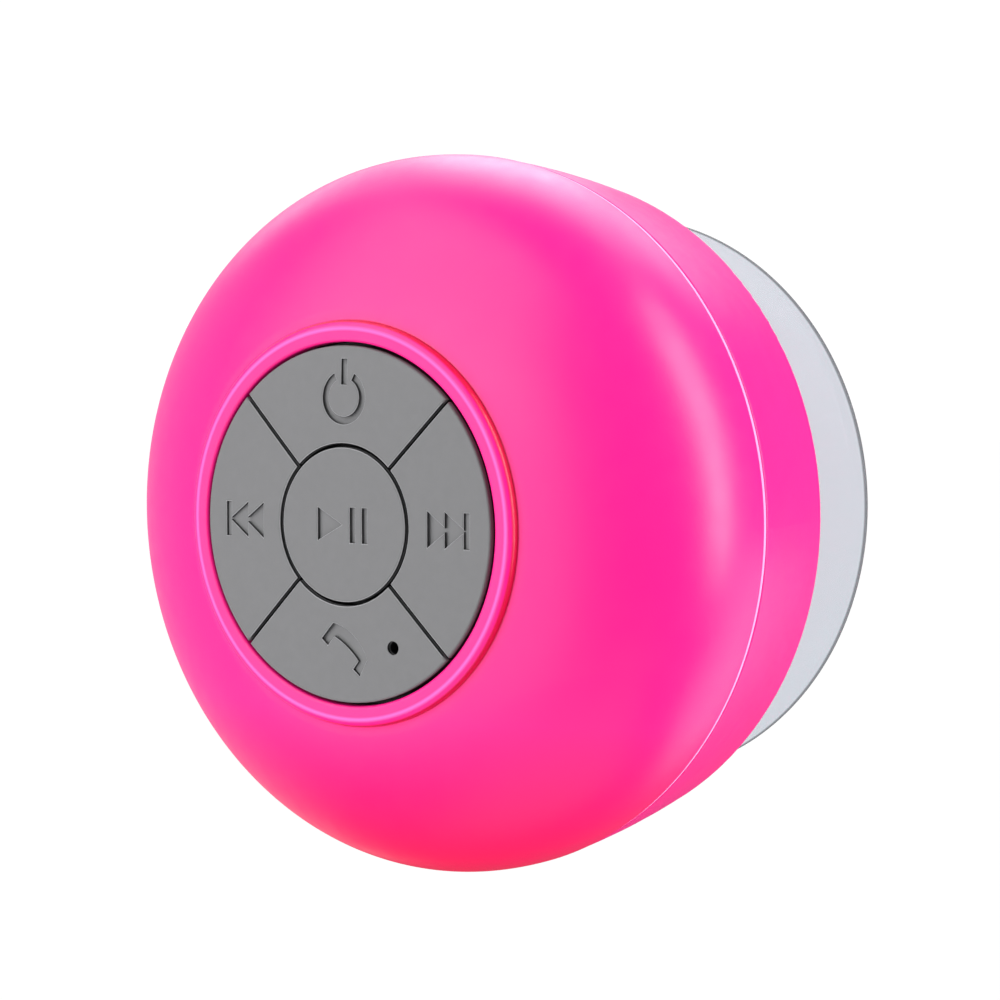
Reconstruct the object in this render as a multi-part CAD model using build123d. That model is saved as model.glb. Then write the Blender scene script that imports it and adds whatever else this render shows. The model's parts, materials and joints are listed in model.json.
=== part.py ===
from build123d import *

import os
from math import cos, degrees, radians, sin

# Wall-mounted bathroom speaker: a squat round body on a screw-off suction cup.
#
# Row frame: the wall is the plane y = 0, the body stands off it towards -Y and +Z is up.
# Stations along the axis are given as a depth in mm behind the rim of the keypad.

# ---- driving dimensions ----
OVERALL_DEPTH = 58.0  # rim of the keypad to the wall
BODY_RADIUS = 43.0
SEAM_DEPTH = 21.6  # where the front dome ends, at its widest
DOME_HEIGHT = 22.6  # from the seam to the dome's own apex
DOME_POWER = 2.5  # 2 would be an ellipse; more is squarer
SKIN_THICKNESS = 1.2
SHELL_WALL = 2.0
FIT_GAP = 0.05  # between glued or nested faces of one body

KEYPAD_RADIUS = 20.55
CENTRE_KEY_RADIUS = 8.93
KEY_GAP = 0.4
KEY_CROWN = 0.5
KEY_THICKNESS = 2.0
KEY_EDGE_ROUND = 0.25
SIGN_DEPTH = 0.45
SIGN_EDGE_ROUND = 0.2
STEM_RADIUS = 2.0
STEM_RING = 15.0  # distance of the outer stems from the axis

RING_BORE = 20.95
RING_OUTER = 23.4
RING_TOP = 0.1
GASKET_BORE = 39.75

DECK_FRONT = 3.6
DECK_BACK = 5.6
SWITCH_FRONT = 7.5
SWITCH_SIZE = 6.0
BOARD_FRONT = 9.1
BOARD_BACK = 10.3
BOARD_RADIUS = 26.5
BOARD_SCREW_RING = 23.5
MIC_X = 7.05
MIC_Z = -13.75
CONNECTOR_X = 23.0
CONNECTOR_Z = 21.5
CONNECTOR_BACK = 13.8

BATTERY_FRONT = 11.8
BATTERY_BACK = 17.3
BATTERY_WIDTH = 36.0
BATTERY_HEIGHT = 25.0

YOKE_FRONT = 18.6
MAGNET_FRONT = 20.6
TOP_PLATE_FRONT = 25.4
BASKET_FRONT = 27.4
SPIDER_FRONT = 29.6
FLANGE_FRONT = 32.2
FLANGE_BACK = 33.4
FLANGE_RADIUS = 25.0
EAR_RING = 27.2
TERMINAL_FRONT = 31.4
CAP_SPHERE = 20.6  # radius of the dust cap's dome
CAP_BACK = 32.4

BAND_FRONT = 22.2
BAND_FRONT_RADIUS = 42.9
BAND_BULGE = 0.2
BAND_BACK = 37.2
BAND_BACK_RADIUS = 41.0
BACK_OUTER = 38.8
BACK_INNER = 36.6
SEAT_FRONT = 34.0

HUB_BACK = 42.8
HUB_RADIUS = 10.5
STUD_RADIUS = 5.94
SOCKET_RADIUS = 6.0
SOCKET_DEPTH = 8.0
CUP_FRONT = 43.6
CUP_RIM_RADIUS = 36.2
CUP_LIP_RADIUS = 34.4
STUD_FLANGE_RADIUS = 8.0
STUD_FLANGE_FRONT = 44.8
STUD_FLANGE_BACK = 46.2

PORT_DEPTH = 29.5
PORT_POCKET = 1.3
USB_BOARD_FRONT = 30.85
USB_BOARD_BACK = 31.85
USB_SCREW_X = 4.6
USB_SCREW_Z = -30.8

BOSS_RING = 32.5
BOSS_ANGLES = (30, 150, 210, 330)
EAR_ANGLES = (45, 135, 225, 315)
WIRE_RADIUS = 0.55


# ---- helpers ----
def y_at(depth):
    return depth - OVERALL_DEPTH


def on_ring(radius, angle):
    """x and z of a place on a circle about the axis, counted from +X towards +Z."""
    return radius * cos(radians(angle)), radius * sin(radians(angle))


def facing_front(depth):
    """Sketch plane square to the axis: x to the right and y up, as seen from the front."""
    return Plane(origin=(0, y_at(depth), 0), x_dir=(1, 0, 0), z_dir=(0, -1, 0))


def prism(sketch, start, end):
    """Front-view sketch, carried from one depth to a greater one."""
    return extrude(facing_front(start) * sketch, amount=start - end)


def rod(radius, start, end, x=0, z=0):
    middle = Pos(x, y_at((start + end) / 2), z)
    return middle * Rot(90, 0, 0) * Cylinder(radius, end - start)


def tube(inner, outer, start, end, x=0, z=0):
    return rod(outer, start, end, x, z) - rod(inner, start - 1, end + 1, x, z)


def block(width, height, start, end, x=0, z=0):
    return Pos(x, y_at((start + end) / 2), z) * Box(width, end - start, height)


def turned(outline):
    """Solid of revolution from a closed outline of (radius, depth) points."""
    corners = [(radius, y_at(depth)) for radius, depth in outline]
    return revolve(make_face(Polyline(*corners, close=True)), Axis.Y)


def turned_curves(*curves):
    return revolve(make_face(Curve() + list(curves)), Axis.Y)


def line(*points):
    return Polyline(*[(radius, y_at(depth)) for radius, depth in points])


def arc(start, middle, end):
    return ThreePointArc(*[(radius, y_at(depth)) for radius, depth in (start, middle, end)])


def rounded(outline, radii):
    """Closed (radius, depth) outline with a radius on each corner, turned about the axis."""
    corners = [(radius, y_at(depth)) for radius, depth in outline]
    path = FilletPolyline(*corners, radius=radii, close=True)
    return revolve(make_face(path), Axis.Y)


def dome_point(inset, angle):
    """Point of the dome's section, inset mm inside its outer face; 0 is the seam and 90 the apex."""
    width = BODY_RADIUS - inset
    height = DOME_HEIGHT - inset
    across = cos(radians(angle))
    along = sin(radians(angle))
    reach = (across**DOME_POWER + along**DOME_POWER) ** (-1 / DOME_POWER)
    return width * reach * across, SEAM_DEPTH - height * reach * along


def dome_solid(inset):
    steps = 14
    points = [dome_point(inset, 90 * i / steps) for i in range(steps)]
    points.append((0, SEAM_DEPTH - DOME_HEIGHT + inset))
    spline = Spline(
        *[(radius, y_at(depth)) for radius, depth in points],
        tangents=[(0, -1), (-1, 0)],
    )
    return turned_curves(spline, line(points[-1], (0, SEAM_DEPTH), points[0]))


def band_solid(inset):
    """The rear band as a solid plug, inset mm inside its outer face."""
    front = (BAND_FRONT_RADIUS - inset, BAND_FRONT)
    back = (BAND_BACK_RADIUS - inset, BAND_BACK)
    middle = ((front[0] + back[0]) / 2 + BAND_BULGE, (BAND_FRONT + BAND_BACK) / 2)
    return turned_curves(
        arc(front, middle, back),
        line(back, (0, BAND_BACK), (0, BAND_FRONT), front),
    )


def wire(points):
    """Insulated lead along (x, depth, z) points, with arcs as large as its runs allow."""
    path = [Vector(x, y_at(depth), z) for x, depth, z in points]
    radii = []
    for before, corner, after in zip(path, path[1:], path[2:]):
        run_in = corner - before
        run_out = after - corner
        half_turn = radians(run_in.get_angle(run_out)) / 2
        tangent = sin(half_turn) / cos(half_turn)
        radii.append(0.45 * min(run_in.length, run_out.length) / tangent)
    route = FilletPolyline(*path, radius=radii)
    start = Plane(origin=path[0], z_dir=path[1] - path[0])
    return sweep(start * Circle(WIRE_RADIUS), path=route)


def solids_of(pieces):
    return Compound(children=[solid for piece in pieces for solid in piece.solids()])


# ---- keys ----
STEMS = {
    "power": on_ring(STEM_RING, 90),
    "previous": on_ring(STEM_RING, 180),
    "next": on_ring(STEM_RING, 0),
    "call": on_ring(STEM_RING, 270),
    "play_pause": (0, 0),
}


def power_sign():
    """Open ring with a bar through its gap."""
    ring_z = 14.6
    opening = Polygon((0, ring_z), (-4, ring_z + 7.2), (4, ring_z + 7.2), align=None)
    ring = Pos(0, ring_z) * (Circle(3.05) - Circle(2.25))
    bar = Pos(0, 17.55) * Rectangle(0.75, 2.9)
    return ring - opening + bar


def skip_sign(side):
    """Two arrow heads that point away from the axis, against a bar."""
    heads = Sketch()
    for base in (12.0, 14.4):
        tip = base + 2.7
        head = Polygon((base, 2.0), (base, -2.0), (tip, 0), align=None)
        heads += head
    heads += Pos(17.35, 0) * Rectangle(0.7, 4.0)
    return heads if side > 0 else mirror(heads, Plane.YZ)


def play_pause_sign():
    play = Polygon((-3.65, 1.85), (-3.65, -1.85), (-0.2, 0), align=None)
    first = Pos(1.4, 0) * Rectangle(0.7, 4.0)
    second = Pos(3.15, 0) * Rectangle(0.7, 4.0)
    return play + first + second


def call_sign():
    """Telephone handset: two cups joined by a curved back."""
    ear_outer = (-1.6, -11.45)
    ear_tip = (-3.3, -13.3)
    ear_lip = (-2.45, -14.0)
    ear_inner = (-1.45, -12.9)
    mouth_inner = (2.05, -15.6)
    mouth_lip = (1.25, -16.6)
    mouth_tip = (2.1, -17.3)
    mouth_outer = (3.2, -15.4)
    outline = Curve() + [
        Polyline(ear_outer, ear_tip, ear_lip, ear_inner),
        ThreePointArc(ear_inner, (0.75, -14.3), mouth_inner),
        Polyline(mouth_inner, mouth_lip, mouth_tip, mouth_outer),
        ThreePointArc(mouth_outer, (1.25, -12.65), ear_outer),
    ]
    return make_face(outline)


def crown():
    """Everything behind the keypad's gently crowned face."""
    rim = KEYPAD_RADIUS + 0.5
    radius = (rim**2 + KEY_CROWN**2) / (2 * KEY_CROWN)
    ball = Pos(0, y_at(radius - KEY_CROWN), 0) * Sphere(radius)
    return ball & rod(rim, -1, KEY_THICKNESS)


def key_blank(outline):
    blank = prism(outline, -2, KEY_THICKNESS) & crown()
    face_edges = blank.faces().sort_by(Axis.Y)[0].edges()
    return fillet(face_edges, KEY_EDGE_ROUND)


def sector(turn):
    """A quarter of the keypad round the centre key, less half a gap on each side."""
    reach = 2 * KEYPAD_RADIUS
    apex = KEY_GAP / 2**0.5
    wedge = Polygon((0, apex), (reach, apex + reach), (-reach, apex + reach), align=None)
    quarter = wedge & (Circle(KEYPAD_RADIUS) - Circle(CENTRE_KEY_RADIUS + KEY_GAP))
    return Rot(0, 0, turn) * quarter


def key(name, outline, sign, sign_distance):
    """Key cap with its sunk sign and the stem that reaches its switch."""
    local_crown = KEY_CROWN * (1 - (sign_distance / KEYPAD_RADIUS) ** 2)
    floor = SIGN_DEPTH - local_crown
    x, z = STEMS[name]
    cap = key_blank(outline) - prism(sign, -2, floor)
    face = cap.faces().filter_by(GeomType.SPHERE)[0]
    sign_edges = [edge for wire in face.inner_wires() for edge in wire.edges()]
    cap = fillet(sign_edges, SIGN_EDGE_ROUND)
    return cap + rod(STEM_RADIUS, KEY_THICKNESS - 0.5, SWITCH_FRONT - 0.9, x, z)


def key_call():
    whole = key("call", sector(180), call_sign(), 14.5)
    return whole - rod(0.8, -2, KEY_THICKNESS + 1, MIC_X, MIC_Z)


def switch_plunger(name):
    return rod(1.75, SWITCH_FRONT - 0.9, SWITCH_FRONT + 0.7, *STEMS[name])


def tact_switches():
    bodies = []
    for x, z in STEMS.values():
        body = block(SWITCH_SIZE, SWITCH_SIZE, SWITCH_FRONT, BOARD_FRONT, x, z)
        body = chamfer(body.edges().filter_by(Axis.Y), 0.6)
        bodies.append(body - rod(1.85, SWITCH_FRONT - 1, SWITCH_FRONT + 1.4, x, z))
    return solids_of(bodies)


def keypad_membrane():
    sheet = rod(KEYPAD_RADIUS + 0.15, DECK_FRONT - 0.8, DECK_FRONT)
    for x, z in STEMS.values():
        sheet -= rod(STEM_RADIUS + 0.3, 0, DECK_BACK, x, z)
    return sheet - rod(0.8, 0, DECK_BACK, MIC_X, MIC_Z)


# ---- front housing ----
def silicone_skin():
    """Soft dome with the raised ring round the keypad."""
    shoulder = 0.8
    lip = 0.4
    bend = 1 - 0.5**0.5
    ring = turned_curves(
        line((RING_BORE, 3), (RING_BORE, RING_TOP + lip)),
        arc(
            (RING_BORE, RING_TOP + lip),
            (RING_BORE + lip * bend, RING_TOP + lip * bend),
            (RING_BORE + lip, RING_TOP),
        ),
        line((RING_BORE + lip, RING_TOP), (RING_OUTER - shoulder, RING_TOP)),
        arc(
            (RING_OUTER - shoulder, RING_TOP),
            (RING_OUTER - shoulder * bend, RING_TOP + shoulder * bend),
            (RING_OUTER, RING_TOP + shoulder),
        ),
        line((RING_OUTER, RING_TOP + shoulder), (RING_OUTER, 3), (RING_BORE, 3)),
    )
    dome = dome_solid(0) - rod(RING_BORE, -5, SEAM_DEPTH + 1)
    skin = dome + ring - dome_solid(SKIN_THICKNESS)
    rim = skin.faces().sort_by(Axis.Y)[-1].edges().sort_by(SortBy.RADIUS)[-1]
    return fillet(rim, 0.3)


def front_shell():
    """Stiff dome under the skin: keypad deck, key guides, board bosses and screw bosses."""
    outer = dome_solid(SKIN_THICKNESS + FIT_GAP)
    hollow = dome_solid(SKIN_THICKNESS + FIT_GAP + SHELL_WALL)
    shell = outer - hollow
    shell += rod(RING_BORE + 3, DECK_FRONT, DECK_BACK)
    for angle in BOSS_ANGLES:
        x, z = on_ring(BOSS_RING, angle)
        shell += rod(3.2, 4, 26, x, z) & (outer + rod(BODY_RADIUS, SEAM_DEPTH, 30))
    for angle in EAR_ANGLES:
        x, z = on_ring(BOARD_SCREW_RING, angle)
        shell += rod(2.2, 3.8, BOARD_FRONT, x, z)
    shell -= rod(RING_BORE, -5, DECK_FRONT)
    for x, z in STEMS.values():
        shell -= rod(STEM_RADIUS + 0.1, 0, DECK_BACK + 1, x, z)
    shell -= rod(3.05, 0, DECK_BACK + 1, MIC_X, MIC_Z)
    for angle in BOSS_ANGLES:
        shell -= rod(1.13, 17, 30, *on_ring(BOSS_RING, angle))
    for angle in EAR_ANGLES:
        shell -= rod(1.0, 5.4, 12, *on_ring(BOARD_SCREW_RING, angle))
    return shell


def seam_gasket():
    """Flat ring clamped between the two housings; its edge shows as a thin line."""
    outline = [
        (GASKET_BORE, SEAM_DEPTH),
        (BODY_RADIUS - 0.12, SEAM_DEPTH),
        (BODY_RADIUS - 0.12, BAND_FRONT),
        (GASKET_BORE, BAND_FRONT),
    ]
    return rounded(outline, [0.05, 0.2, 0.2, 0.05])


# ---- electronics ----
def main_board():
    board = rod(BOARD_RADIUS, BOARD_FRONT, BOARD_BACK)
    for angle in EAR_ANGLES:
        board -= rod(1.1, BOARD_FRONT - 1, BOARD_BACK + 1, *on_ring(BOARD_SCREW_RING, angle))
    return board


def chip(width, height, thickness, x, z):
    body = block(width, height, BOARD_BACK, BOARD_BACK + thickness, x, z)
    return chamfer(body.faces().sort_by(Axis.Y)[-1].edges(), 0.15)


def screw(x, z, seat, shank_end, shank_radius, head_radius, head_height):
    """Cross-recess screw driven towards the front; seat is the face under its head."""
    head = rod(head_radius, seat, seat + head_height, x, z)
    head = fillet(head.faces().sort_by(Axis.Y)[-1].edges(), head_height * 0.4)
    arm = head_radius * 0.6
    top = seat + head_height
    recess = block(2 * arm, arm * 0.5, top - head_height * 0.5, top + 1, x, z)
    recess += block(arm * 0.5, 2 * arm, top - head_height * 0.5, top + 1, x, z)
    return head + rod(shank_radius, shank_end, seat + 0.2, x, z) - recess


def board_screws():
    return solids_of(
        screw(*on_ring(BOARD_SCREW_RING, angle), BOARD_BACK, 5.8, 0.97, 1.9, 1.2) for angle in EAR_ANGLES
    )


def microphone():
    capsule = rod(2.0, DECK_BACK, DECK_BACK + 1.6, MIC_X, MIC_Z)
    for side in (-1, 1):
        capsule += rod(0.25, DECK_BACK + 1.5, BOARD_FRONT, MIC_X + side * 0.9, MIC_Z)
    return capsule


def microphone_boot():
    boot = rod(3.0, DECK_FRONT, DECK_BACK + 2.2, MIC_X, MIC_Z)
    boot -= rod(0.8, 0, BOARD_FRONT, MIC_X, MIC_Z)
    return boot - rod(2.03, DECK_BACK - 0.02, BOARD_FRONT, MIC_X, MIC_Z)


def board_connectors():
    sockets = []
    for x, z in ((-CONNECTOR_X, 0), (CONNECTOR_X, 0), (0, -CONNECTOR_Z)):
        wide, tall = (4.0, 6.0) if z == 0 else (6.0, 4.0)
        body = block(wide, tall, BOARD_BACK, CONNECTOR_BACK, x, z)
        sockets.append(fillet(body.edges().filter_by(Axis.Y), 0.4))
    return solids_of(sockets)


def battery_cell():
    cell = block(BATTERY_WIDTH, BATTERY_HEIGHT, BATTERY_FRONT, BATTERY_BACK)
    return fillet(cell.edges().filter_by(Axis.Z), 1.6)


def battery_safety_board():
    edge = BATTERY_WIDTH / 2
    return block(1.0, 14, BATTERY_FRONT + 1, BATTERY_BACK - 1, -edge - 0.5, 0)


def battery_leads():
    """Two short leads from the cell's safety board round to the left connector."""
    leads = []
    start_x = -BATTERY_WIDTH / 2 - 1
    for side in (-1, 1):
        points = [
            (start_x, 15.4, side * 3.6),
            (start_x - 1.8, 15.4, side * 3.6),
            (-CONNECTOR_X, 16.2, side * 1.1),
            (-CONNECTOR_X, CONNECTOR_BACK, side * 1.1),
        ]
        leads.append(wire(points))
    return solids_of(leads)


def usb_leads():
    """Two leads from the charging board forward to the lower connector."""
    leads = []
    for side in (-1, 1):
        points = [
            (side * 1.8, USB_BOARD_FRONT, -30.4),
            (side * 1.8, 27.6, -30.4),
            (side * 1.7, 22.6, -28.4),
            (side * 1.3, 18.2, -CONNECTOR_Z),
            (side * 1.3, CONNECTOR_BACK, -CONNECTOR_Z),
        ]
        leads.append(wire(points))
    return solids_of(leads)


def speaker_leads():
    """Two leads from the driver's terminal strip forward to the right connector."""
    leads = []
    for side in (-1, 1):
        points = [
            (24.8, TERMINAL_FRONT, side * 2.4),
            (24.8, 28.0, side * 2.4),
            (26.2, 23.2, side * 2.1),
            (CONNECTOR_X, 18.4, side * 1.1),
            (CONNECTOR_X, CONNECTOR_BACK, side * 1.1),
        ]
        leads.append(wire(points))
    return solids_of(leads)


# ---- driver ----
def speaker_yoke():
    back = tube(1.5, 14.0, YOKE_FRONT, MAGNET_FRONT)
    return back + tube(1.5, 6.2, MAGNET_FRONT - 0.5, BASKET_FRONT)


def speaker_basket():
    """Pressed frame: foot on the top plate, spider ledge, vented cone wall, flange with ears."""
    frame = turned(
        [
            (8.4, BASKET_FRONT),
            (15.2, BASKET_FRONT),
            (22.6, FLANGE_FRONT),
            (FLANGE_RADIUS, FLANGE_FRONT),
            (FLANGE_RADIUS, FLANGE_BACK),
            (22.0, FLANGE_BACK),
            (16.6, SPIDER_FRONT),
            (14.4, SPIDER_FRONT),
            (13.6, BASKET_FRONT + 1),
            (8.4, BASKET_FRONT + 1),
        ]
    )
    for angle in EAR_ANGLES:
        ear = SlotCenterToCenter(EAR_RING - 23.6, 5.2)
        ear = Rot(0, 0, angle) * Pos((EAR_RING + 23.6) / 2, 0) * ear
        frame += prism(ear, FLANGE_FRONT, FLANGE_BACK)
        frame -= rod(1.15, 30, 35, *on_ring(EAR_RING, angle))
    for i in range(8):
        frame -= rod(1.7, 26, 36, *on_ring(19.4, 22.5 + 45 * i))
    return frame


def speaker_terminal():
    """Strip on the flange that the driver's leads are soldered to."""
    return block(3.4, 8, TERMINAL_FRONT, FLANGE_FRONT, 24.6, 0)


def surround():
    """Half-roll of rubber between the cone and the flange."""
    face = FLANGE_BACK
    return turned_curves(
        line((23.0, face), (23.0, face + 0.4), (21.9, face + 0.4)),
        arc((21.9, face + 0.4), (20.1, face + 2.2), (18.3, face + 0.4)),
        line((18.3, face + 0.4), (17.4, face + 0.4), (17.4, face), (18.7, face)),
        arc((18.7, face), (20.1, face + 1.5), (21.5, face)),
        line((21.5, face), (23.0, face)),
    )


def spider():
    """Corrugated disc that centres the voice coil."""
    waves = 4
    inner = 8.2
    outer = 14.2
    pitch = (outer - inner) / waves
    front = [(6.82, SPIDER_FRONT)]
    for i in range(waves):
        front.append((inner + pitch * i, SPIDER_FRONT))
        front.append((inner + pitch * (i + 0.5), SPIDER_FRONT - 0.5))
    front += [(outer, SPIDER_FRONT), (16.5, SPIDER_FRONT)]
    back = [(radius, depth + 0.35) for radius, depth in reversed(front)]
    return turned(front + back)


def speaker_cone():
    """Paper cone from the coil's neck out to its flat rim."""
    return turned(
        [
            (6.8, 30.0),
            (7.3, 30.0),
            (17.6, 32.9),
            (18.4, 32.9),
            (18.4, FLANGE_BACK),
            (17.4, FLANGE_BACK),
            (7.1, 30.6),
            (6.8, 30.6),
        ]
    )


def dust_cap():
    centre = Pos(0, y_at(CAP_BACK - CAP_SPHERE), 0)
    dome = centre * (Sphere(CAP_SPHERE) - Sphere(CAP_SPHERE - 0.4))
    return dome & rod(7.0, 30, CAP_BACK + 1)


def voice_coil():
    """Paper former with its winding in the magnet's gap."""
    return turned(
        [
            (6.55, 23.4),
            (6.75, 23.4),
            (6.75, 24.4),
            (7.05, 24.4),
            (7.05, 28.4),
            (6.75, 28.4),
            (6.75, 30.6),
            (6.55, 30.6),
        ]
    )


def speaker_screws():
    """Screws through the flange's ears, driven towards the back."""
    screws = []
    for angle in EAR_ANGLES:
        x, z = on_ring(EAR_RING, angle)
        head = rod(2.0, FLANGE_FRONT - 1.3, FLANGE_FRONT, x, z)
        head = fillet(head.faces().sort_by(Axis.Y)[0].edges(), 0.5)
        slot = block(2.4, 0.6, FLANGE_FRONT - 2, FLANGE_FRONT - 0.7, x, z)
        slot += block(0.6, 2.4, FLANGE_FRONT - 2, FLANGE_FRONT - 0.7, x, z)
        screws.append(head + rod(0.97, FLANGE_FRONT - 0.2, 37.4, x, z) - slot)
    return solids_of(screws)


# ---- rear housing ----
def sound_slots():
    """Three rings of curved slots in the back."""
    slots = Sketch()
    for radius, count, span in ((14.2, 6, 38), (17.6, 8, 29), (21.0, 10, 24)):
        for i in range(count):
            start = 90 - span / 2 + i * 360 / count
            slots += SlotArc(CenterArc((0, 0), radius, start, span), 1.5)
    return slots


def port_outline(width, length, corner):
    """Outline of the charging port, looking along Z, centred on the port."""
    return Pos(0, y_at(PORT_DEPTH)) * RectangleRounded(width, length, corner)


def port_prism(sketch):
    """Front-to-back sketch in the XY plane, carried down past the band's lowest point."""
    return extrude(Pos(0, 0, -46) * sketch, amount=16)


def strap_outline(width):
    start = 6.35
    return Pos((start + 11.0) / 2, y_at(PORT_DEPTH)) * Rectangle(11.0 - start, width)


def rear_shell():
    """Band and back: driver seat, sound slots, hub socket, screw bosses and charging port."""
    outline = Curve() + [
        arc(
            (BAND_FRONT_RADIUS, BAND_FRONT),
            ((BAND_FRONT_RADIUS + BAND_BACK_RADIUS) / 2 + BAND_BULGE, (BAND_FRONT + BAND_BACK) / 2),
            (BAND_BACK_RADIUS, BAND_BACK),
        ),
        line(
            (BAND_BACK_RADIUS, BAND_BACK),
            (BAND_BACK_RADIUS - 0.2, BACK_OUTER),
            (13.0, BACK_OUTER),
            (HUB_RADIUS, 40.2),
            (HUB_RADIUS, HUB_BACK),
            (SOCKET_RADIUS, HUB_BACK),
            (SOCKET_RADIUS, HUB_BACK - SOCKET_DEPTH),
            (0, HUB_BACK - SOCKET_DEPTH),
            (0, 33.9),
            (8.5, 33.9),
            (9.5, BACK_INNER),
            (BAND_BACK_RADIUS - 2.2, BACK_INNER),
            (BAND_FRONT_RADIUS - 2.4, 24.2),
            (38.3, 23.4),
            (38.3, 19.4),
            (39.5, 19.4),
            (39.5, BAND_FRONT),
            (BAND_FRONT_RADIUS, BAND_FRONT),
        ),
    ]
    shell = revolve(make_face(outline), Axis.Y)
    corner = shell.edges().filter_by(GeomType.CIRCLE).filter_by(
        lambda e: abs(e.radius - (BAND_BACK_RADIUS - 0.2)) < 0.01
    )
    shell = fillet(corner, 1.5)
    front_edge = shell.edges().filter_by(GeomType.CIRCLE).filter_by(
        lambda e: abs(e.radius - BAND_FRONT_RADIUS) < 0.01
    )
    shell = fillet(front_edge, 0.3)
    inside = band_solid(1.0) + rod(38, BAND_BACK - 0.1, BACK_OUTER - 0.5)
    additions = tube(23.1, 26.2, SEAT_FRONT, BACK_INNER + 0.5)
    for angle in EAR_ANGLES:
        additions += rod(3.0, SEAT_FRONT, BACK_INNER + 0.5, *on_ring(EAR_RING, angle))
    for angle in BOSS_ANGLES:
        additions += rod(3.6, 26.2, BACK_INNER + 0.5, *on_ring(BOSS_RING, angle))
    for x in (-USB_SCREW_X, USB_SCREW_X):
        additions += rod(2.2, USB_BOARD_BACK, BACK_INNER + 0.5, x, USB_SCREW_Z)
    port_wall = port_prism(port_outline(24, 11.5, 1)) - rod(37.6, 10, 50)
    shell += (additions + port_wall) & inside
    for angle in EAR_ANGLES:
        shell -= rod(1.0, 30, 37.6, *on_ring(EAR_RING, angle))
    for angle in BOSS_ANGLES:
        x, z = on_ring(BOSS_RING, angle)
        shell -= rod(2.4, 30.4, 45, x, z) + rod(1.25, 20, 31, x, z)
    for x in (-USB_SCREW_X, USB_SCREW_X):
        shell -= rod(0.85, 30, 37.0, x, USB_SCREW_Z)
    shell -= prism(sound_slots(), 35, 45)
    pocket = port_prism(port_outline(13, 8, 2.5) + strap_outline(4.0)) - band_solid(PORT_POCKET)
    shell -= pocket
    shell -= port_prism(port_outline(9.2, 3.9, 0.8))
    return shell - anchor_rod(1.15)


def anchor_rod(radius):
    """Pin of the cover's strap, square to the band at its fixed end."""
    tilt = degrees(9.6 / 41.0)
    pin = Pos(0, y_at(PORT_DEPTH), -39.4) * Cylinder(radius, 3.6)
    return Rot(0, -tilt, 0) * pin


def acoustic_mesh():
    return tube(11.0, 22.9, BACK_INNER - 0.35, BACK_INNER)


def housing_screws():
    return solids_of(
        screw(*on_ring(BOSS_RING, angle), 30.4, 18, 1.1, 2.1, 1.6) for angle in BOSS_ANGLES
    )


# ---- charging port ----
def usb_receptacle():
    """Folded steel shell round a plastic tongue, with its mouth facing down."""
    mouth = -38.5
    tail = -33.1
    middle = (mouth + tail) / 2
    length = tail - mouth
    place = Pos(0, y_at(PORT_DEPTH), middle)
    can = place * Box(7.6, 2.7, length)
    can = fillet(can.edges().filter_by(Axis.Z), 0.6)
    hollow = Pos(0, y_at(PORT_DEPTH), middle - 0.6) * Box(7.0, 2.1, length)
    hollow = fillet(hollow.edges().filter_by(Axis.Z), 0.4)
    tongue = Pos(0, y_at(PORT_DEPTH) - 0.25, middle + 0.4) * Box(4.0, 0.6, length - 1.0)
    return can - hollow + tongue


def usb_board():
    board = block(13, 8.2, USB_BOARD_FRONT, USB_BOARD_BACK, 0, -32.8)
    for x in (-USB_SCREW_X, USB_SCREW_X):
        board -= rod(0.95, 30, 33, x, USB_SCREW_Z)
    return board


def usb_board_screws():
    screws = []
    for x in (-USB_SCREW_X, USB_SCREW_X):
        head = rod(1.6, USB_BOARD_FRONT - 1, USB_BOARD_FRONT, x, USB_SCREW_Z)
        head = fillet(head.faces().sort_by(Axis.Y)[0].edges(), 0.4)
        slot = block(2.0, 0.5, 29, USB_BOARD_FRONT - 0.5, x, USB_SCREW_Z)
        screws.append(head + rod(0.82, USB_BOARD_FRONT - 0.1, 36.4, x, USB_SCREW_Z) - slot)
    return solids_of(screws)


def port_cover():
    """Rubber lid flush in the band, with a short plug that fills the port's mouth."""
    lid = port_prism(port_outline(12.4, 7.4, 2.2)) & band_solid(0.08)
    lid -= band_solid(PORT_POCKET - FIT_GAP)
    plug = Pos(0, y_at(PORT_DEPTH), -40.1) * Box(8.2, 3.3, 1.9)
    plug = chamfer(plug.faces().sort_by(Axis.Z)[-1].edges(), 0.5)
    return lid + plug


def port_cover_strap():
    """Thin rubber hinge strip with the pin that holds it in the band."""
    strip = port_prism(strap_outline(3.4)) & band_solid(0.35)
    strip -= band_solid(PORT_POCKET - FIT_GAP)
    return strip + (anchor_rod(1.1) & band_solid(0.6))


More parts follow.
